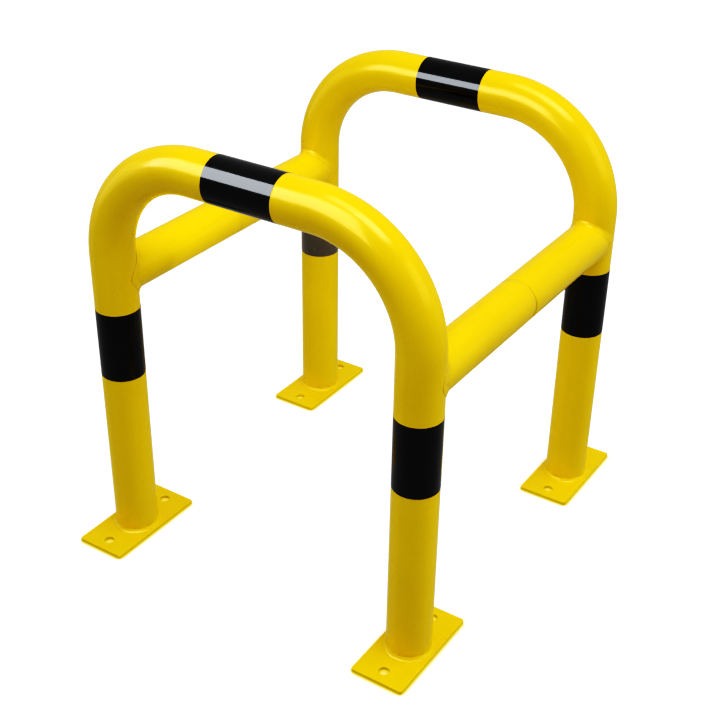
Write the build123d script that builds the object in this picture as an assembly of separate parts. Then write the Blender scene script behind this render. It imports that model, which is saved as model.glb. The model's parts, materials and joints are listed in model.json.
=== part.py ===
from build123d import *

import os
from math import sqrt

# A two-part steel tube guard that stands round a building column. Each half is a bent
# hoop on two base plates with two short rail stubs; the halves are the same weldment,
# turned half a turn from each other, and they plug together in the middle of the rails.
#
# Frame: millimetres, +Z up, origin on the floor in the middle of the guard. X runs along
# a hoop from left to right, Y runs along the rails from the front half to the rear half.

# --- Driving dimensions --------------------------------------------------------------
TUBE_OD = 60.3
TUBE_WALL = 2.9
HOOP_HEIGHT = 612.0  # floor to the top of the hoop tube
LEG_SPACING = 467.0  # between the two leg axes of a hoop
HOOP_SPACING = 470.0  # between the planes of the two hoops
BEND_RADIUS = 144.0  # hoop bends, on the tube's centreline
RAIL_HEIGHT = 405.0  # floor to the rail axis

PLATE_WIDTH = 75.0  # along X
PLATE_LENGTH = 160.0  # along Y
PLATE_THICKNESS = 5.0
PLATE_CORNER_RADIUS = 3.0
PLATE_EDGE_BREAK = 0.5
BOLT_HOLE_DIAMETER = 14.0
BOLT_HOLE_SPACING = 120.0  # along Y, one hole each side of the leg

FOOT_WELD_LEG = 4.5  # fillet weld leg length
FOOT_WELD_CROWN = 0.4  # how far the fillet bulges past a straight slope
RAIL_WELD_RADIUS = 4.5
RAIL_WELD_SIDE_INSET = 2.5  # sets the bead deeper where the two tubes run side by side

JOINT_GAP = 0.6  # open line between the two stubs of a rail
STUB_END_CHAMFER = 0.6
STUB_EAR_TRIM = 4.0  # the coped end's two thin ears are cut back this far

SPIGOT_WALL = 3.0
SPIGOT_REACH = 70.0  # into each stub
SPIGOT_CLEARANCE = 0.25  # radial, in the stub that it plugs into
SPIGOT_LEAD_IN = 4.0  # length of the taper at its sliding end
SPIGOT_LEAD_DROP = 1.0  # how much smaller its radius is at the tip

BAND_LENGTH = 100.0
BAND_THICKNESS = 0.2
LEG_BAND_HEIGHT = 309.0  # floor to the band's middle
TOP_BAND_OFFSET = 4.0  # the band's middle lies this far left of the hoop's middle

# --- Worked out from them ------------------------------------------------------------
TUBE_RADIUS = TUBE_OD / 2
BORE_RADIUS = TUBE_RADIUS - TUBE_WALL
LEG_X = LEG_SPACING / 2
HOOP_Y = -HOOP_SPACING / 2  # the front hoop; the rear one is its half turn
TOP_AXIS_HEIGHT = HOOP_HEIGHT - TUBE_RADIUS
STUB_END_Y = -JOINT_GAP / 2
COPE_REACH = 2 * TUBE_OD  # the cutting bars run this far past a rail joint's middle


def ring(outer_radius, inner_radius, start, direction, length):
    """A round tube from start, running for length along direction."""
    section = Circle(outer_radius) - Circle(inner_radius)
    return extrude(Plane(origin=start, z_dir=direction) * section, length)


def hoop_tube():
    """The bent tube: two legs that stand on the base plates and the top bar."""
    left_foot = (-LEG_X, HOOP_Y, PLATE_THICKNESS)
    right_foot = (LEG_X, HOOP_Y, PLATE_THICKNESS)
    left_corner = (-LEG_X, HOOP_Y, TOP_AXIS_HEIGHT)
    right_corner = (LEG_X, HOOP_Y, TOP_AXIS_HEIGHT)
    path = FilletPolyline(left_foot, left_corner, right_corner, right_foot, radius=BEND_RADIUS)
    end_plane = Plane(origin=left_foot, z_dir=(0, 0, 1))
    outside = sweep(end_plane * Circle(TUBE_RADIUS), path)
    inside = sweep(end_plane * Circle(BORE_RADIUS), path)
    return outside - inside


def base_plate(x):
    """A plate under one leg, with a bolt hole in front of the leg and one behind it."""
    outline = RectangleRounded(PLATE_WIDTH, PLATE_LENGTH, PLATE_CORNER_RADIUS)
    holes = GridLocations(0, BOLT_HOLE_SPACING, 1, 2) * Circle(BOLT_HOLE_DIAMETER / 2)
    plate = extrude(outline - holes, PLATE_THICKNESS)
    top_rim = plate.faces().sort_by(Axis.Z)[-1].outer_wire().edges()
    return Pos(x, HOOP_Y, 0) * chamfer(top_rim, PLATE_EDGE_BREAK)


def foot_weld(x):
    """The fillet weld round the leg's foot, on top of the base plate."""
    toe = (TUBE_RADIUS + FOOT_WELD_LEG, 0)
    root = (TUBE_RADIUS, 0)
    top = (TUBE_RADIUS, FOOT_WELD_LEG)
    bulge = FOOT_WELD_LEG / 2 + FOOT_WELD_CROWN
    face_line = ThreePointArc(toe, (TUBE_RADIUS + bulge, bulge), top)
    profile = Plane.XZ * make_face([face_line, Line(top, root), Line(root, toe)])
    return Pos(x, HOOP_Y, PLATE_THICKNESS) * revolve(profile, Axis.Z)


def leg_cutter(x):
    """A solid bar that fills the leg at x, for coping what meets it."""
    start = (x, HOOP_Y, RAIL_HEIGHT - COPE_REACH)
    return extrude(Plane(origin=start) * Circle(TUBE_RADIUS), 2 * COPE_REACH)


def rail_cutter(x):
    """A solid bar that fills the rail at x, from the leg's axis on."""
    start = (x, HOOP_Y, RAIL_HEIGHT)
    return extrude(Plane(origin=start, z_dir=(0, 1, 0)) * Circle(TUBE_RADIUS), COPE_REACH)


def rail_stub(x):
    """Half a rail: coped to the leg at one end, cut square at the joint."""
    start = (x, HOOP_Y + STUB_EAR_TRIM, RAIL_HEIGHT)
    stub = ring(TUBE_RADIUS, BORE_RADIUS, start, (0, 1, 0), STUB_END_Y - start[1])
    mouth = stub.faces().sort_by(Axis.Y)[-1].outer_wire().edges()
    return chamfer(mouth, STUB_END_CHAMFER) - leg_cutter(x)


def rail_weld(x):
    """The saddle-shaped bead round the coped joint: two half ellipses at 45 degrees."""
    side = TUBE_RADIUS - RAIL_WELD_SIDE_INSET
    bead = None
    for tilt in (1, -1):
        # In this plane the leg and the rail, being the same size, meet in an ellipse.
        slope = Plane(origin=(0, 0, 0), x_dir=(1, 0, 0), z_dir=(0, -tilt, 1))
        seam = slope * EllipticalCenterArc((0, 0), side, TUBE_RADIUS * sqrt(2), 0, arc_size=180)
        run = sweep(Plane(origin=seam @ 0, z_dir=seam % 0) * Circle(RAIL_WELD_RADIUS), seam)
        bead = run if bead is None else bead + run
    for end in (side, -side):
        bead += Pos(end, 0, 0) * Sphere(RAIL_WELD_RADIUS)
    return Pos(x, HOOP_Y, RAIL_HEIGHT) * bead - leg_cutter(x) - rail_cutter(x)


def rail_spigot(x):
    """The sleeve inside the rail joint: tight in its own stub, a sliding fit in the other."""
    bore = BORE_RADIUS - SPIGOT_WALL
    slide_radius = BORE_RADIUS - SPIGOT_CLEARANCE
    near_end = STUB_END_Y - SPIGOT_REACH
    far_end = -STUB_END_Y + SPIGOT_REACH
    outline = Polyline(
        (near_end, bore),
        (near_end, BORE_RADIUS),
        (STUB_END_Y, BORE_RADIUS),
        (STUB_END_Y, slide_radius),
        (far_end - SPIGOT_LEAD_IN, slide_radius),
        (far_end, slide_radius - SPIGOT_LEAD_DROP),
        (far_end, bore),
        close=True,
    )
    # The outline is drawn with the rail's length along X, so it is turned to run along Y.
    spigot = revolve(make_face(outline), Axis.X)
    return Pos(x, 0, RAIL_HEIGHT) * Rot(0, 0, 90) * spigot


def band(start, direction):
    """A turn of self-adhesive film round a tube, from start along direction."""
    return ring(TUBE_RADIUS + BAND_THICKNESS, TUBE_RADIUS, start, direction, BAND_LENGTH)


def half_guard(half, plus_side, minus_side):
    """Every piece of one half, in the front half's place, by node name."""
    top_band_start = (-TOP_BAND_OFFSET - BAND_LENGTH / 2, HOOP_Y, TOP_AXIS_HEIGHT)
    pieces = {
        f"{half}_hoop_tube": hoop_tube(),
        f"{half}_top_band": band(top_band_start, (1, 0, 0)),
        f"{plus_side}_rail_spigot": rail_spigot(LEG_X),
    }
    for side, x in ((plus_side, LEG_X), (minus_side, -LEG_X)):
        leg_band_start = (x, HOOP_Y, LEG_BAND_HEIGHT - BAND_LENGTH / 2)
        pieces[f"{half}_{side}_base_plate"] = base_plate(x)
        pieces[f"{half}_{side}_foot_weld"] = foot_weld(x)
        pieces[f"{half}_{side}_leg_band"] = band(leg_band_start, (0, 0, 1))
        pieces[f"{half}_{side}_rail_stub"] = rail_stub(x)
        pieces[f"{half}_{side}_rail_weld"] = rail_weld(x)
    return pieces


def guard():
    """The whole guard: a front half, and a rear half that is its half turn."""
    half_turn = Rot(0, 0, 180)
    front = half_guard("front", plus_side="right", minus_side="left")
    rear = half_guard("rear", plus_side="left", minus_side="right")
    return front | {node: half_turn * piece for node, piece in rear.items()}


os.makedirs("parts", exist_ok=True)
for node, piece in guard().items():
    solid = piece.solid()
    solid.label = node
    export_step(solid, f"parts/{node}.step")
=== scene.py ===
import json
import math

import bpy
from mathutils import Matrix, Vector, noise


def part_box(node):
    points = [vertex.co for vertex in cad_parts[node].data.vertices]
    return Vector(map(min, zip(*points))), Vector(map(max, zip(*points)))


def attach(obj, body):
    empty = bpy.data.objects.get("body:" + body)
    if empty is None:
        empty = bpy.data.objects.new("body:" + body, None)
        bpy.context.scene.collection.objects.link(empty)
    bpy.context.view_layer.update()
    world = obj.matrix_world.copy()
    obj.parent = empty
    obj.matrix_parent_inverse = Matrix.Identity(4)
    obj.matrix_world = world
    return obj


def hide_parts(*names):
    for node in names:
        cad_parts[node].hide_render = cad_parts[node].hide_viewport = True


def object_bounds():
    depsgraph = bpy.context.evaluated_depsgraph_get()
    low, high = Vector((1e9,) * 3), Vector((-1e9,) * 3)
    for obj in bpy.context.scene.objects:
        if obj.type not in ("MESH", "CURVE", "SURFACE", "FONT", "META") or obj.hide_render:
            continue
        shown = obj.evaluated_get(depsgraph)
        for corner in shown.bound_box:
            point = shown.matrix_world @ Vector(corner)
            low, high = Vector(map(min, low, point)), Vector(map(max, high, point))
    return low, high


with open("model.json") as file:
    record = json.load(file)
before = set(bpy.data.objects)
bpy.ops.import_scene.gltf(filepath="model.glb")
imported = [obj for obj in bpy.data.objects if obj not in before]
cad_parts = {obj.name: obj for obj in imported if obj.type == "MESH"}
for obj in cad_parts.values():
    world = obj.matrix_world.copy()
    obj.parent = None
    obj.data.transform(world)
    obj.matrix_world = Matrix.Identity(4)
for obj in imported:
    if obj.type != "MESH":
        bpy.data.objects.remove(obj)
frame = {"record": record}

CAD_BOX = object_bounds()
MM = 0.001  # lengths are in metres

# --- Camera ----------------------------------------------------------------------------
CAMERA_AZIMUTH = 32.829  # degrees, 0 looks along +Y, positive swings the camera to +X
CAMERA_ELEVATION = 30.508
CAMERA_ROLL = 0.921
CAMERA_DISTANCE = 1.7709
CAMERA_AIM = Vector((0.0154, -0.0246, -0.0492))  # from the middle of the CAD box
CAMERA_LENS = 63.32  # in millimetres, like the sensor
CAMERA_SENSOR = 36
CAMERA_FAR_CLIP = 60

# --- Stage and light -------------------------------------------------------------------
FLOOR_RADIUS = 14.0
FLOOR_DROP = 0.4 * MM  # keeps the floor clear of the plates' undersides
FLOOR_GLOW = 0.72
DOME_SINK = 50 * MM  # the dome starts this far under the floor
DOME_GLOW = 0.98
STAGE_STEPS = 64
PAINTED_SHADE_REACH = 10 * MM  # this close to the plates the floor gets painted shade and painted yellow bounce light
PAINTED_SHADE_SAMPLES = 16

WORLD_RADIANCE = 0.39
BOX_DISTANCE = 4.0
SOFT_BOXES = (
    # name, azimuth and elevation in degrees, width and height, radiance, what it lights
    ("overhead_box", 80, 71, 1.8, 1.8, 6.7, "all"),
    ("zenith_box", 270, 86, 1.6, 1.6, 4.2, "all"),
    ("right_sheen", 100, 28, 2.6, 2.2, 1.6, "gloss"),
    ("left_sheen", 292, 8, 2.4, 2.4, 0.9, "gloss"),
    ("left_fill", 292, 8, 2.4, 2.4, 2.4, "matt"),
    ("right_rear_fill", 132, 6, 2.0, 2.0, 3.2, "matt"),
)
NEAR_PANELS = (
    # name, place, aim, width and height, radiance: lamps close to the guard, without gloss
    ("bay_panel", (0.0, -0.16, 0.30), (0.0, 0.235, 0.30), 0.35, 0.45, 0.65),
    ("top_panel", (0.0, -0.6, 1.4), (0.0, -0.235, 0.58), 0.8, 0.4, 1.5),
)
STRIP_PLACE = (-0.38, -0.6, 0.99)
STRIP_AIM = (-0.38, -0.17, 0.706)
STRIP_SIZE = (1.2, 0.52)
STRIP_RADIANCE = 7.0
STRIP_COLOR = (0.88, 0.93, 1.0)

TONE_CURVE = (  # scene value, shown value
    (0.02, 0.0016),
    (0.06, 0.010),
    (0.115, 0.036),
    (0.175, 0.114),
    (0.27, 0.28),
    (0.42, 0.49),
    (0.65, 0.735),
)
ALL_CHANNELS = 3  # that curve's place, after red, green and blue

# --- Meshes ----------------------------------------------------------------------------
SHARP_ANGLE = math.radians(38)  # edges over this stay crisp
ROUND_STEPS = 96  # points round a tube

# --- Tubes: what the CAD boxes don't tell ----------------------------------------------
BEND_RADIUS = 144 * MM
BEND_STEPS = 40
BEND_FLATTENING = 0.014  # a drawn bend is this much thinner across its curve
BEND_WIDENING = 0.006
BEND_RUN_IN = math.radians(14)  # the flattening fades in over this turn
TUBE_WALL = 2.9 * MM
STRAIGHT_STEP = 12 * MM

EAR_TRIM = 4 * MM
MOUTH_CHAMFER = (0.15 * MM, 1.2 * MM)  # where the joint's line is narrowest and widest
MOUTH_SKEW = (-0.22 * MM, 0.7 * MM)  # each stub's cut is this much off square there
WIDE_TURN = math.radians(108)  # the line is widest here, from the top towards the outer side
WIDE_FALLOFF = 1.5
RIM_SHORT, RIM_DROP = 0.35, 0.3  # a point partway round the mouth's edge, in chamfers

SLEEVE_WALL = 3 * MM
SLEEVE_CLEARANCE = 0.25 * MM
SLEEVE_LEAD = 4 * MM  # length of the taper at the sliding end
SLEEVE_LEAD_DROP = 1 * MM
SLEEVE_EDGE = 0.4 * MM
SLEEVE_STEP = 0.3 * MM  # the tight length ends this far before the joint's middle
SLEEVE_SEAM_TURN = math.radians(200)  # the sleeve's own seam, a shallow groove
SLEEVE_SEAM_DEPTH = 0.12 * MM
SLEEVE_SEAM_SPREAD = 0.05  # radians

# --- Plates ----------------------------------------------------------------------------
PLATE_CORNER = 3 * MM
PLATE_EDGE_ROUND = 0.6 * MM
PLATE_EDGE_STEPS = 3
PLATE_CORNER_STEPS = 8
HOLE_RADIUS = 7 * MM
HOLE_OFFSET = 60 * MM
HOLE_STEPS = 48

# --- Welds -----------------------------------------------------------------------------
WELD_PITCH = 2.7 * MM  # one ripple of the torch
WELD_STEPS_PER_RIPPLE = 8
WELD_PROFILE_STEPS = 8
WELD_RIPPLE = 0.12 * MM
WELD_BOW = 0.35  # a ripple's middle lags its ends by this part of the pitch
WELD_SINK = 0.6 * MM  # the toes run this far into the metal
WELD_SWAY_SCALE = 2.5  # how quickly the torch's unevenness changes along the seam
WELD_SWAY_BOW = 1.5  # how far it shifts the ripples, in radians
WELD_SWAY_CROWN = 0.12  # how much of the crown it adds or takes
WELD_TOE_SCALE = 6
WELD_TOE_WANDER = 0.07
START_LUMP = 0.25 * MM  # where the bead starts and ends on itself
START_LUMP_REACH = 4 * MM
SEAM_SAMPLES = 400

FOOT_TOE = 4.4 * MM
FOOT_CROWN = -0.5 * MM  # a hollow face
FOOT_START_TURN = 2.4  # the bead starts and ends out of sight, inside the guard
RAIL_TOE = 5.0 * MM
RAIL_CROWN = -0.8 * MM  # above and below the rail
RAIL_CROWN_RISE = 1.2 * MM  # by how much it is fuller beside the rail
RAIL_SEAM_NUDGE = 0.01  # radians to each side of a point, for the seam's direction

# --- Bands -----------------------------------------------------------------------------
FILM_THICKNESS = 0.2 * MM
FILM_EDGE = FILM_THICKNESS / 4
FILM_OVERLAP = 9 * MM
FILM_CLIMB = 2.5 * MM  # the film climbs onto its own start over this length
FILM_SKEW = 0.35 * MM  # the lap's end lies this far askew
FILM_STEPS = 132
TOP_LAP_ANGLE = math.radians(-70)
ALONG_X, ALONG_Z = 0, 2

SEED_START, SEED_STEP = 1.0, 3.7  # for the beads' unevenness, one value for each corner

# --- Colours ---------------------------------------------------------------------------
WHITE = (1.0, 1.0, 1.0)
PAINT_TONES = ((0.86, 0.575, 0.0), (0.90, 0.612, 0.0))  # the coat is a little uneven
PAINT_GLOSS = (1.0, 0.94, 0.60)
PAINT_SPECK = (0.78, 0.46, 0.0)
PAINT_WORN = (0.62, 0.36, 0.01)
BLACK_FILM = ((0.006, 0.006, 0.007), (0.010, 0.010, 0.011))  # fresh, worn
FADED_FILM = ((0.150, 0.130, 0.094), (0.172, 0.151, 0.112))
ZINC_TONES = ((0.55, 0.56, 0.58), (0.68, 0.68, 0.67))
ZINC_LINES = (0.47, 0.48, 0.50)
# Painted shade: the sleeve turns nearly black where it shows in the joint's gap, standing in for
# the shade inside that gap.
PAINTED_GAP_SHADE = (0.030, 0.024, 0.016)
GAP_SHADE_FULL, GAP_SHADE_END = 1.6 * MM, 4 * MM  # from the joint's middle: solid this far, then gone
MILL_SCALE = (0.07, 0.062, 0.055)
PAINT_DUST = (0.30, 0.19, 0.02)
FLOOR_TONES = ((0.60, 0.60, 0.60), (0.63, 0.63, 0.63))
# Painted shade and painted yellow bounce light: the floor's colour and glow close to the plates.
FLOOR_SHADE_AND_BOUNCE = (0.42, 0.33, 0.02)
FLOOR_SHADE_AND_BOUNCE_GLOW = (0.66, 0.50, 0.05)


# --- Camera, floor and light -----------------------------------------------------------
def toward(azimuth, elevation):
    """The direction at that azimuth (0 is -Y, 90 is +X) and elevation, in degrees."""
    azimuth, elevation = math.radians(azimuth), math.radians(elevation)
    level = math.cos(elevation)
    return Vector((math.sin(azimuth) * level, -math.cos(azimuth) * level, math.sin(elevation)))


def make_camera():
    low, high = CAD_BOX
    aim = (low + high) / 2 + CAMERA_AIM
    back = toward(CAMERA_AZIMUTH, CAMERA_ELEVATION)
    data = bpy.data.cameras.new("camera")
    data.lens = CAMERA_LENS
    data.sensor_width = CAMERA_SENSOR
    data.clip_end = CAMERA_FAR_CLIP
    camera = bpy.data.objects.new("camera", data)
    bpy.context.scene.collection.objects.link(camera)
    roll = Matrix.Rotation(math.radians(CAMERA_ROLL), 4, "Z")
    turn = (-back).to_track_quat("-Z", "Y").to_matrix().to_4x4() @ roll
    camera.matrix_world = Matrix.Translation(aim + back * CAMERA_DISTANCE) @ turn
    bpy.context.scene.camera = camera


def make_stage(floor_material, backdrop_material):
    """A level floor and, far behind it all round, a dome that closes the view."""
    rim = angles(STAGE_STEPS)
    disc = [
        (FLOOR_RADIUS * math.cos(a), FLOOR_RADIUS * math.sin(a), -FLOOR_DROP) for a in rim
    ]
    floor = mesh_object("floor", disc, [tuple(range(STAGE_STEPS))], [floor_material])
    levels = STAGE_STEPS // 4
    dome_rings = []
    for level in range(levels):
        height = math.pi / 2 * level / levels
        reach = FLOOR_RADIUS * math.cos(height)
        rise = FLOOR_RADIUS * math.sin(height) - DOME_SINK
        dome_rings.append([Vector((reach * math.cos(a), reach * math.sin(a), rise)) for a in rim])
    dome = ring_mesh("backdrop", dome_rings, [backdrop_material], loop=False)
    dome.visible_shadow = False
    for stage in (floor, dome):
        # The white set is for the camera; the studio's own light is in the world and the lamps.
        stage.visible_diffuse = False
        stage.visible_glossy = False


def area_light(name, position, aim, width, height, radiance, lights, color=WHITE):
    """A soft box: width runs level, height runs up and down its face. It lights the "matt" part
    of the shading, the "gloss", or "all"."""
    data = bpy.data.lights.new(name, "AREA")
    data.shape = "RECTANGLE"
    data.size = width
    data.size_y = height
    data.energy = math.pi * width * height * radiance
    data.color = color
    light = bpy.data.objects.new(name, data)
    bpy.context.scene.collection.objects.link(light)
    light.location = position
    facing = Vector(aim) - Vector(position)
    light.rotation_euler = facing.to_track_quat("-Z", "Y").to_euler()
    light.visible_camera = False
    light.visible_diffuse = lights != "gloss"
    light.visible_glossy = lights != "matt"


def make_light():
    """The lamps and the even light of the studio's walls."""
    middle = (CAD_BOX[0] + CAD_BOX[1]) / 2
    for name, azimuth, elevation, *face in SOFT_BOXES:
        area_light(name, middle + toward(azimuth, elevation) * BOX_DISTANCE, middle, *face)
    for name, place, aim, *face in NEAR_PANELS:
        area_light(name, place, aim, *face, "matt")
    # A strip close in front of the top bars, which draws the long highlight along them.
    area_light(
        "strip_box", STRIP_PLACE, STRIP_AIM, *STRIP_SIZE, STRIP_RADIANCE, "gloss", STRIP_COLOR
    )
    world = bpy.data.worlds.new("studio")
    world.use_nodes = True
    background = world.node_tree.nodes["Background"]
    background.inputs["Color"].default_value = (*WHITE, 1.0)
    background.inputs["Strength"].default_value = WORLD_RADIANCE
    bpy.context.scene.world = world


def set_tones():
    """The picture's tones: the curve deepens the darks and lets the brights run out to white."""
    view = bpy.context.scene.view_settings
    view.view_transform = "Standard"
    view.look = "None"
    view.use_curve_mapping = True
    curve = view.curve_mapping.curves[ALL_CHANNELS]
    for seen, shown in TONE_CURVE:
        curve.points.new(seen, shown)
    view.curve_mapping.update()


# --- Materials -------------------------------------------------------------------------
class Shader:
    """A principled material and short calls for the nodes that feed it."""

    MIX_FIRST, MIX_SECOND, MIX_RESULT = 6, 7, 2  # the mix node's colour sockets

    def __init__(self, name, roughness, specular=0.5):
        self.material = bpy.data.materials.new(name)
        self.material.use_nodes = True
        self.tree = self.material.node_tree
        self.principled = self.tree.nodes["Principled BSDF"]
        self.set("Roughness", roughness)
        self.set("Specular IOR Level", specular)
        self.place = self.node("ShaderNodeTexCoord").outputs["Object"]

    def node(self, kind, **values):
        made = self.tree.nodes.new(kind)
        for key, value in values.items():
            setattr(made, key, value)
        return made

    def link(self, source, target):
        self.tree.links.new(source, target)

    def set(self, socket, value):
        self.principled.inputs[socket].default_value = value

    def feed(self, socket, source):
        self.link(source, self.principled.inputs[socket])

    def noise(self, scale, detail=2.0, roughness=0.5, stretch=(1, 1, 1)):
        """Noise in the object's metres: scale is about one over the size of a blotch."""
        mapping = self.node("ShaderNodeMapping")
        mapping.inputs["Scale"].default_value = stretch
        self.link(self.place, mapping.inputs["Vector"])
        texture = self.node("ShaderNodeTexNoise")
        texture.inputs["Scale"].default_value = scale
        texture.inputs["Detail"].default_value = detail
        texture.inputs["Roughness"].default_value = roughness
        self.link(mapping.outputs["Vector"], texture.inputs["Vector"])
        return texture.outputs["Fac"]

    def spread(self, source, low, high, out_low=0.0, out_high=1.0, smooth=False):
        """Maps low..high of source to out_low..out_high, clamped."""
        ramp = self.node("ShaderNodeMapRange")
        if smooth:
            ramp.interpolation_type = "SMOOTHSTEP"
        sockets = ("From Min", "From Max", "To Min", "To Max")
        for socket, value in zip(sockets, (low, high, out_low, out_high)):
            ramp.inputs[socket].default_value = value
        self.link(source, ramp.inputs["Value"])
        return ramp.outputs["Result"]

    def mix(self, factor, first, second):
        """A colour between first and second, each a colour or an output."""
        blend = self.node("ShaderNodeMix", data_type="RGBA")
        self.link(factor, blend.inputs["Factor"])
        for socket, value in ((self.MIX_FIRST, first), (self.MIX_SECOND, second)):
            if isinstance(value, tuple):
                blend.inputs[socket].default_value = (*value, 1.0)
            else:
                self.link(value, blend.inputs[socket])
        return blend.outputs[self.MIX_RESULT]

    def multiply(self, first, second):
        product = self.node("ShaderNodeMath", operation="MULTIPLY")
        self.link(first, product.inputs[0])
        self.link(second, product.inputs[1])
        return product.outputs[0]

    def bump(self, height, distance, below=None):
        """Adds a bump of that height in metres, on top of the one below."""
        made = self.node("ShaderNodeBump")
        made.inputs["Distance"].default_value = distance
        self.link(height, made.inputs["Height"])
        if below is not None:
            self.link(below, made.inputs["Normal"])
        return made.outputs["Normal"]


def powder_coat():
    """Gloss yellow powder coat: orange peel, a little uneven in depth, thin on sharp edges."""
    paint = Shader("yellow_powder_coat", 0.2)
    paint.set("Specular Tint", (*PAINT_GLOSS, 1.0))
    depth = paint.spread(paint.noise(7, 3), 0.35, 0.65, smooth=True)
    body = paint.mix(depth, *PAINT_TONES)
    speckle = paint.spread(paint.noise(900, 1), 0.66, 0.74, smooth=True)
    body = paint.mix(speckle, body, PAINT_SPECK)
    point = paint.node("ShaderNodeNewGeometry").outputs["Pointiness"]
    edge = paint.spread(point, 0.53, 0.60, smooth=True)
    thin = paint.multiply(edge, paint.spread(paint.noise(120, 4), 0.42, 0.62, smooth=True))
    body = paint.mix(thin, body, PAINT_WORN)
    paint.feed("Base Color", body)
    paint.feed("Roughness", paint.spread(paint.noise(45, 4), 0.3, 0.7, 0.16, 0.25))
    peel = paint.bump(paint.noise(420, 2), 0.035 * MM)
    paint.feed("Normal", paint.bump(paint.noise(38, 1), 0.12 * MM, below=peel))
    return paint.material


def band_film(name, fresh, worn):
    """Gloss self-adhesive film: nearly flat, with fine scuffs."""
    film = Shader(name, 0.12)
    film.set("Coat Weight", 0.3)
    film.set("Coat Roughness", 0.06)
    scuff = film.spread(film.noise(260, 5, 0.65, stretch=(1, 1, 0.25)), 0.58, 0.72, smooth=True)
    base = film.mix(film.spread(film.noise(18, 3), 0.35, 0.7), fresh, worn)
    scuff_tone = tuple(1.3 * c + 0.004 for c in worn)
    film.feed("Base Color", film.mix(scuff, base, scuff_tone))
    film.feed("Roughness", film.spread(scuff, 0.0, 1.0, 0.12, 0.26))
    film.feed("Normal", film.bump(film.noise(70, 2), 0.05 * MM))
    return film.material


def zinc_steel():
    """Zinc-plated drawn tube: fine lines along it, a faint spangle, and painted shade where it
    shows in the joint's gap.
    """
    steel = Shader("zinc_plated_steel", 0.34)
    steel.set("Metallic", 1.0)
    lines = steel.noise(900, 3, 0.6, stretch=(1, 0.02, 1))
    spangle = steel.spread(steel.noise(90, 3), 0.35, 0.65)
    zinc = steel.mix(spangle, *ZINC_TONES)
    drawn = steel.mix(steel.spread(lines, 0.4, 0.6), zinc, ZINC_LINES)
    # Painted shade: within a few millimetres of the joint's middle, the sleeve is darkened to
    # stand in for the gap's shade.
    along = steel.node("ShaderNodeSeparateXYZ")
    steel.link(steel.place, along.inputs[0])
    from_joint = steel.node("ShaderNodeMath", operation="ABSOLUTE")
    steel.link(along.outputs["Y"], from_joint.inputs[0])
    gap_shade = steel.spread(from_joint.outputs[0], GAP_SHADE_FULL, GAP_SHADE_END, 1.0, 0.0, smooth=True)
    steel.feed("Base Color", steel.mix(gap_shade, drawn, PAINTED_GAP_SHADE))
    steel.feed("Roughness", steel.spread(lines, 0.3, 0.7, 0.26, 0.46))
    steel.feed("Normal", steel.bump(lines, 0.02 * MM))
    return steel.material


def bore_steel():
    """The tubes' inside: mill scale with a dusting of powder."""
    bore = Shader("bore_steel", 0.6, 0.3)
    dust = bore.spread(bore.noise(140, 5, 0.7), 0.45, 0.62, smooth=True)
    bore.feed("Base Color", bore.mix(dust, MILL_SCALE, PAINT_DUST))
    bore.feed("Roughness", bore.spread(bore.noise(300, 3), 0.3, 0.7, 0.5, 0.8))
    bore.feed("Normal", bore.bump(bore.noise(350, 4), 0.08 * MM))
    return bore.material


def floor_sweep():
    """A matt white studio floor, bright enough by itself that shadows stay faint."""
    floor = Shader("pale_floor", 0.85, 0.2)
    white = floor.mix(floor.noise(2, 3), *FLOOR_TONES)
    floor.feed("Normal", floor.bump(floor.noise(160, 3), 0.05 * MM))
    # Painted shade and painted bounce light: close beside the plates and inside their bolt holes,
    # the floor's colour and glow turn darker and yellow, by how occluded the floor is.
    nearby = floor.node("ShaderNodeAmbientOcclusion", samples=PAINTED_SHADE_SAMPLES)
    nearby.inputs["Distance"].default_value = PAINTED_SHADE_REACH
    open_sky = floor.spread(nearby.outputs["AO"], 0.6, 0.98)
    floor.feed("Base Color", floor.mix(open_sky, FLOOR_SHADE_AND_BOUNCE, white))
    floor.feed("Emission Color", floor.mix(open_sky, FLOOR_SHADE_AND_BOUNCE_GLOW, WHITE))
    floor.set("Emission Strength", FLOOR_GLOW)
    return floor.material


def backdrop_white():
    """The white behind the floor."""
    backdrop = Shader("backdrop_white", 0.9, 0.0)
    backdrop.set("Base Color", (0.0, 0.0, 0.0, 1.0))
    backdrop.set("Emission Color", (*WHITE, 1.0))
    backdrop.set("Emission Strength", DOME_GLOW)
    return backdrop.material


# --- Mesh helpers ----------------------------------------------------------------------
def angles(count):
    """That many turns, in radians, evenly round a circle."""
    return [2 * math.pi * k / count for k in range(count)]


def ease(part):
    """Runs from 0 to 1 as part does, level at both ends."""
    return part * part * (3 - 2 * part)


def link_mesh(name, mesh, materials):
    """A linked object of the mesh, smooth-shaded between its sharp edges."""
    for material in materials:
        mesh.materials.append(material)
    mesh.shade_smooth()
    mesh.set_sharp_from_angle(angle=SHARP_ANGLE)
    made = bpy.data.objects.new(name, mesh)
    bpy.context.scene.collection.objects.link(made)
    return made


def mesh_object(name, points, faces, materials):
    mesh = bpy.data.meshes.new(name)
    mesh.from_pydata([tuple(p) for p in points], [], faces)
    mesh.validate()
    return link_mesh(name, mesh, materials)


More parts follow.
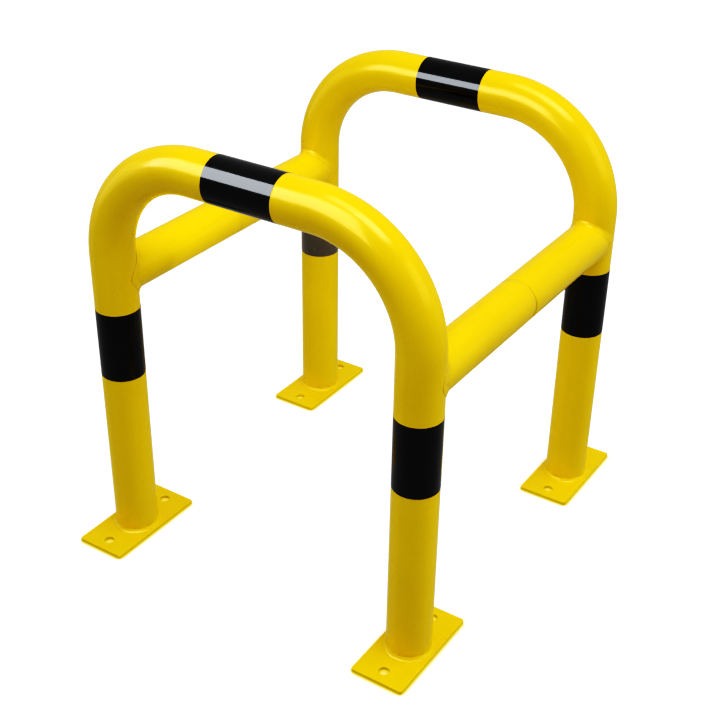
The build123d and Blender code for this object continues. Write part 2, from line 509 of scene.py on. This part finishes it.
def ring_mesh(name, rings, materials, loop, bore_from=None):
    """Joins closed rings of points into one skin. With loop the last ring joins the first;
    without it both ends are capped. Faces from ring bore_from on take the second material."""
    around = len(rings[0])
    points = [point for ring in rings for point in ring]
    faces = []
    spans = len(rings) if loop else len(rings) - 1
    for i in range(spans):
        near, far = i * around, (i + 1) % len(rings) * around
        for k in range(around):
            after = (k + 1) % around
            faces.append((near + k, near + after, far + after, far + k))
    if not loop:
        faces.append(tuple(range(around))[::-1])
        last = (len(rings) - 1) * around
        faces.append(tuple(range(last, last + around)))
    made = mesh_object(name, points, faces, materials)
    if bore_from is not None:
        for polygon in made.data.polygons[bore_from * around:]:
            polygon.material_index = 1
    face_outward(made)
    return made


def face_outward(made):
    """Turns the faces over if the closed mesh encloses a negative volume."""
    mesh = made.data
    volume = 0.0
    for polygon in mesh.polygons:
        corners = [mesh.vertices[i].co for i in polygon.vertices]
        for second, third in zip(corners[1:], corners[2:]):
            volume += corners[0].dot(second.cross(third))
    if volume < 0:
        mesh.flip_normals()


def finish_piece(made, node):
    """Puts the piece on its node's body, in the node's stead."""
    bodies = frame["record"]["behaviour"]["bodies"]
    body = next(name for name, nodes in bodies.items() if node in nodes)
    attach(made, body)
    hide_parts(node)


# --- Hoop tubes ------------------------------------------------------------------------
class Hoop:
    """A bent tube's centreline, read from its node's box."""

    def __init__(self, node):
        low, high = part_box(node)
        self.radius = (high.y - low.y) / 2
        self.y = (high.y + low.y) / 2
        self.leg_x = high.x - self.radius
        self.foot_z = low.z
        self.top_z = high.z - self.radius
        self.leg_length = self.top_z - BEND_RADIUS - self.foot_z
        self.arc_length = BEND_RADIUS * math.pi / 2
        self.bar_length = 2 * (self.leg_x - BEND_RADIUS)
        self.length = 2 * (self.leg_length + self.arc_length) + self.bar_length

    def stations(self):
        """Distances along the tube, close together in the bends."""
        marks = []
        start = 0.0
        spans = (
            (self.leg_length, None),
            (self.arc_length, BEND_STEPS),
            (self.bar_length, None),
            (self.arc_length, BEND_STEPS),
            (self.leg_length, None),
        )
        for length, steps in spans:
            steps = steps or round(length / STRAIGHT_STEP)
            marks += [start + length * k / steps for k in range(steps)]
            start += length
        return marks + [self.length]

    def at(self, distance):
        """Centre, the direction away from the bends' inside, and how far into a bend (0 to 1)."""
        side = -1
        if distance > self.length / 2:
            distance = self.length - distance
            side = 1
        if distance <= self.leg_length:
            spot = Vector((side * self.leg_x, self.y, self.foot_z + distance))
            return spot, Vector((side, 0, 0)), 0.0
        turned = (distance - self.leg_length) / BEND_RADIUS
        pivot = Vector((side * (self.leg_x - BEND_RADIUS), self.y, self.top_z - BEND_RADIUS))
        if turned >= math.pi / 2:
            past = distance - self.leg_length - self.arc_length
            return pivot + Vector((-side * past, 0, BEND_RADIUS)), Vector((0, 0, 1)), 0.0
        outward = Vector((side * math.cos(turned), 0, math.sin(turned)))
        depth = min(1.0, min(turned, math.pi / 2 - turned) / BEND_RUN_IN)
        return pivot + outward * BEND_RADIUS, outward, ease(depth)


def make_hoop(node, name, paint, bore):
    """The bent tube, outside and inside."""
    hoop = Hoop(node)

    def ring(distance, radius):
        centre, outward, bend = hoop.at(distance)
        across = radius * (1 - BEND_FLATTENING * bend)
        wide = radius * (1 + BEND_WIDENING * bend)
        side = Vector((0, 1, 0))
        return [
            centre + outward * across * math.cos(a) + side * wide * math.sin(a)
            for a in angles(ROUND_STEPS)
        ]

    marks = hoop.stations()
    inner = hoop.radius - TUBE_WALL
    rings = [ring(mark, hoop.radius) for mark in marks]
    rings += [ring(mark, inner) for mark in reversed(marks)]
    made = ring_mesh(name, rings, [paint, bore], loop=True, bore_from=len(marks))
    finish_piece(made, node)
    return hoop


# --- Base plates -----------------------------------------------------------------------
def add_loop(curve, points):
    spline = curve.splines.new("POLY")
    spline.points.add(len(points) - 1)
    for spot, (x, y) in zip(spline.points, points):
        spot.co = (x, y, 0, 1)
    spline.use_cyclic_u = True


def plate_outline(half_x, half_y):
    """The points round a plate with rounded corners."""
    outline = []
    for quarter, (sx, sy) in enumerate(((1, 1), (-1, 1), (-1, -1), (1, -1))):
        for k in range(PLATE_CORNER_STEPS + 1):
            a = math.pi / 2 * (quarter + k / PLATE_CORNER_STEPS)
            outline.append((
                sx * (half_x - PLATE_CORNER) + PLATE_CORNER * math.cos(a),
                sy * (half_y - PLATE_CORNER) + PLATE_CORNER * math.sin(a),
            ))
    return outline


def make_plate(node, name, paint):
    """A flat bar cut to length, with rounded corners, drilled, its edges softened by paint."""
    low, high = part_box(node)
    half_x, half_y, half_z = (high - low) / 2
    curve = bpy.data.curves.new(name + "_outline", "CURVE")
    curve.dimensions = "2D"
    curve.fill_mode = "BOTH"
    curve.offset = -PLATE_EDGE_ROUND
    curve.extrude = half_z - PLATE_EDGE_ROUND
    curve.bevel_depth = PLATE_EDGE_ROUND
    curve.bevel_resolution = PLATE_EDGE_STEPS
    add_loop(curve, plate_outline(half_x, half_y))
    for offset in (-HOLE_OFFSET, HOLE_OFFSET):
        add_loop(curve, [
            (HOLE_RADIUS * math.cos(a), offset + HOLE_RADIUS * math.sin(a))
            for a in angles(HOLE_STEPS)
        ])
    holder = bpy.data.objects.new(name + "_outline", curve)
    bpy.context.scene.collection.objects.link(holder)
    bpy.context.view_layer.update()
    evaluated = holder.evaluated_get(bpy.context.evaluated_depsgraph_get())
    mesh = bpy.data.meshes.new_from_object(evaluated)
    bpy.data.objects.remove(holder)
    bpy.data.curves.remove(curve)
    mesh.name = name
    mesh.transform(Matrix.Translation((low + high) / 2))
    mesh.materials.clear()
    made = link_mesh(name, mesh, [paint])
    weighted = made.modifiers.new("weighted_normals", "WEIGHTED_NORMAL")
    weighted.keep_sharp = True
    finish_piece(made, node)


# --- Welds -----------------------------------------------------------------------------
def make_weld(node, name, seam, toe, crown, paint, seed):
    """A rippled fillet bead along a closed seam. seam(t) for t from 0 to 1 gives the root point,
    the directions in which the two toes lie, and the outward direction; crown(t) the bulge."""
    trial = [seam(k / SEAM_SAMPLES)[0] for k in range(SEAM_SAMPLES + 1)]
    length = sum((b - a).length for a, b in zip(trial, trial[1:]))
    ripples = round(length / WELD_PITCH)
    count = ripples * WELD_STEPS_PER_RIPPLE
    rings = []
    for k in range(count):
        t = k / count
        root, first, second, out = seam(t)
        loop = Vector((math.cos(2 * math.pi * t), math.sin(2 * math.pi * t), seed))
        sway = noise.noise(loop * WELD_SWAY_SCALE)
        from_start = min(t, 1 - t) * length
        lump = START_LUMP * math.exp(-((from_start / START_LUMP_REACH) ** 2))
        bulge = crown(t) * (1 + WELD_SWAY_CROWN * sway) + lump
        reach = toe * (1 + WELD_TOE_WANDER * noise.noise(loop * WELD_TOE_SCALE))
        toe_first, toe_second = root + first * reach, root + second * reach
        ring = [toe_first - out * WELD_SINK]
        for j in range(WELD_PROFILE_STEPS + 1):
            v = 2 * j / WELD_PROFILE_STEPS - 1
            arch = 1 - v * v
            phase = 2 * math.pi * (ripples * t - WELD_BOW * arch) + WELD_SWAY_BOW * sway
            rise = arch * bulge + math.sqrt(arch) * WELD_RIPPLE / 2 * math.cos(phase)
            ring.append(toe_first.lerp(toe_second, (v + 1) / 2) + out * rise)
        ring.append(toe_second - out * WELD_SINK)
        ring.append(root - out * 2 * WELD_SINK)
        rings.append(ring)
    made = ring_mesh(name, rings, [paint], loop=True)
    finish_piece(made, node)


def make_foot_weld(node, name, hoop, side, paint, seed):
    """The fillet between a leg and its plate."""
    foot = Vector((side * hoop.leg_x, hoop.y, hoop.foot_z))
    up = Vector((0, 0, 1))

    def seam(t):
        a = 2 * math.pi * t + FOOT_START_TURN * side
        radial = Vector((math.cos(a), math.sin(a), 0))
        return foot + radial * hoop.radius, up, radial, (up + radial).normalized()

    make_weld(node, name, seam, FOOT_TOE, lambda t: FOOT_CROWN, paint, seed)


def make_rail_weld(node, name, hoop, side, rail_z, way, paint, seed):
    """The saddle-shaped fillet round a rail's coped end. way is +1 where the rail runs to +Y."""
    r = hoop.radius
    centre = Vector((side * hoop.leg_x, hoop.y, rail_z))

    def local(a):
        across, above = r * math.sin(a), r * math.cos(a)
        return Vector((across, way * math.sqrt(above ** 2 + EAR_TRIM ** 2), above))

    def seam(t):
        a = 2 * math.pi * t + math.pi
        spot = local(a)
        along = (local(a + RAIL_SEAM_NUDGE) - local(a - RAIL_SEAM_NUDGE)).normalized()
        off_leg = Vector((spot.x, spot.y, 0)).normalized()
        off_rail = Vector((spot.x, 0, spot.z)).normalized()
        leg_way = along.cross(off_leg) * way
        rail_way = off_rail.cross(along) * way
        return centre + spot, leg_way, rail_way, (off_leg + off_rail).normalized()

    def crown(t):
        beside = abs(math.sin(2 * math.pi * t + math.pi))
        return RAIL_CROWN + RAIL_CROWN_RISE * beside ** 4

    make_weld(node, name, seam, RAIL_TOE, crown, paint, seed)


# --- Rails -----------------------------------------------------------------------------
def make_stub(node, name, hoop, side, way, paint, bore):
    """Half a rail: its far end follows the leg's round, its mouth is cut nearly square. way is
    +1 where it runs to +Y. Returns the height of its axis."""
    low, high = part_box(node)
    outer = (high.x - low.x) / 2
    inner = outer - TUBE_WALL
    axis_x, axis_z = (low.x + high.x) / 2, (low.z + high.z) / 2
    mouth = abs((high.y if way > 0 else low.y) - hoop.y)

    def between(ends, part):
        return ends[0] + (ends[1] - ends[0]) * part

    def ring(fraction, radius, short=0.0, drop=0.0):
        """The tube's round at that fraction of the way from the leg to the mouth. short and drop
        keep it that many chamfers from the mouth and under the skin."""
        points = []
        for a in angles(ROUND_STEPS):
            wide = max(0.0, math.cos(a - side * WIDE_TURN)) ** WIDE_FALLOFF
            chamfer = between(MOUTH_CHAMFER, wide)
            skew = between(MOUTH_SKEW, wide)
            reach = radius - drop * chamfer
            across = reach * math.sin(a)
            cope = max(math.sqrt(max(0.0, hoop.radius ** 2 - across ** 2)), EAR_TRIM)
            run = cope + (mouth - skew - short * chamfer - cope) * fraction
            points.append(
                Vector((axis_x + across, hoop.y + way * run, axis_z + reach * math.cos(a)))
            )
        return points

    steps = round(mouth / STRAIGHT_STEP)
    rings = [ring(k / steps, outer, short=1) for k in range(steps + 1)]
    rings += [ring(1, outer, short=RIM_SHORT, drop=RIM_DROP), ring(1, outer, drop=1)]
    bore_start = len(rings)
    rings += [ring(1 - k / steps, inner) for k in range(steps + 1)]
    made = ring_mesh(name, rings, [paint, bore], loop=True, bore_from=bore_start)
    finish_piece(made, node)
    return axis_z


def make_spigot(node, name, way, steel):
    """The joint's sleeve: tight in its own stub, a little smaller where it slides. way is +1
    where its sliding end points to +Y."""
    low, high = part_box(node)
    tight = (high.x - low.x) / 2
    slide = tight - SLEEVE_CLEARANCE
    bore = tight - SLEEVE_WALL
    axis_x, axis_z = (low.x + high.x) / 2, (low.z + high.z) / 2
    near, far = (low.y, high.y) if way > 0 else (high.y, low.y)
    step = -way * SLEEVE_STEP
    profile = (
        (near, bore),
        (near, tight - SLEEVE_EDGE),
        (near + way * SLEEVE_EDGE, tight),
        (step, tight),
        (step, slide),
        (far - way * SLEEVE_LEAD, slide),
        (far - way * SLEEVE_LEAD / 3, slide - SLEEVE_LEAD_DROP / 2),
        (far, slide - SLEEVE_LEAD_DROP),
        (far, bore),
    )

    def ring(y, radius):
        points = []
        for a in angles(ROUND_STEPS):
            reach = radius
            if radius > bore:
                from_seam = (a - SLEEVE_SEAM_TURN) / SLEEVE_SEAM_SPREAD
                reach -= SLEEVE_SEAM_DEPTH * math.exp(-(from_seam ** 2))
            points.append(Vector((axis_x + reach * math.sin(a), y, axis_z + reach * math.cos(a))))
        return points

    made = ring_mesh(name, [ring(y, radius) for y, radius in profile], [steel], loop=True)
    finish_piece(made, node)


# --- Bands -----------------------------------------------------------------------------
def make_band(node, name, along, seam_angle, film):
    """A turn of film round a tube, its end lapped over its start. along is ALONG_X or ALONG_Z,
    the tube's direction; seam_angle is where the lap lies, round that direction."""
    low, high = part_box(node)
    centre = (low + high) / 2
    half_width = (high[along] - low[along]) / 2
    inner = (high.y - low.y) / 2 - FILM_THICKNESS
    lap = FILM_OVERLAP / inner
    climb = FILM_CLIMB / inner
    axis = Vector((1, 0, 0)) if along == ALONG_X else Vector((0, 0, 1))
    rings = []
    for k in range(FILM_STEPS + 1):
        turned = (2 * math.pi + lap) * k / FILM_STEPS
        past = turned - 2 * math.pi
        under = inner + ease(min(1.0, max(0.0, (past + climb) / climb))) * FILM_THICKNESS
        askew = FILM_SKEW * max(0.0, past / lap)
        cosine, sine = math.cos(seam_angle + turned), math.sin(seam_angle + turned)
        outward = Vector((0, cosine, sine) if along == ALONG_X else (cosine, sine, 0))
        top = under + FILM_THICKNESS
        section = (
            (-half_width, under),
            (-half_width, top - FILM_EDGE),
            (-half_width + FILM_EDGE, top),
            (half_width - FILM_EDGE, top),
            (half_width, top - FILM_EDGE),
            (half_width, under),
        )
        rings.append([
            centre + outward * radius + axis * (offset - math.copysign(askew, offset))
            for offset, radius in section
        ])
    made = ring_mesh(name, rings, [film], loop=False)
    finish_piece(made, node)


# --- The guard -------------------------------------------------------------------------
make_camera()
make_light()
set_tones()

PAINT = powder_coat()
BORE = bore_steel()
STEEL = zinc_steel()
BLACK = band_film("black_film", *BLACK_FILM)
FADED = band_film("black_film_faded", *FADED_FILM)

make_stage(floor_sweep(), backdrop_white())

seed = SEED_START
for half, way in (("front", 1), ("rear", -1)):
    hoop = make_hoop(f"{half}_hoop_tube", f"{half}_hoop", PAINT, BORE)
    make_band(f"{half}_top_band", f"{half}_top_film", ALONG_X, TOP_LAP_ANGLE, BLACK)
    for side_name, side in (("left", -1), ("right", 1)):
        corner = f"{half}_{side_name}"
        seed += SEED_STEP
        make_plate(f"{corner}_base_plate", f"{corner}_plate", PAINT)
        make_foot_weld(f"{corner}_foot_weld", f"{corner}_foot_bead", hoop, side, PAINT, seed)
        # The laps of the leg bands face the middle of the guard.
        lap_angle = math.atan2(-hoop.y, -side * hoop.leg_x)
        film = FADED if corner == "rear_left" else BLACK
        make_band(f"{corner}_leg_band", f"{corner}_leg_film", ALONG_Z, lap_angle, film)
        stub_node, weld_node = f"{corner}_rail_stub", f"{corner}_rail_weld"
        rail_z = make_stub(stub_node, f"{corner}_stub", hoop, side, way, PAINT, BORE)
        saddle = f"{corner}_saddle_bead"
        make_rail_weld(weld_node, saddle, hoop, side, rail_z, way, PAINT, seed + 1)
make_spigot("right_rail_spigot", "right_sleeve", 1, STEEL)
make_spigot("left_rail_spigot", "left_sleeve", -1, STEEL)
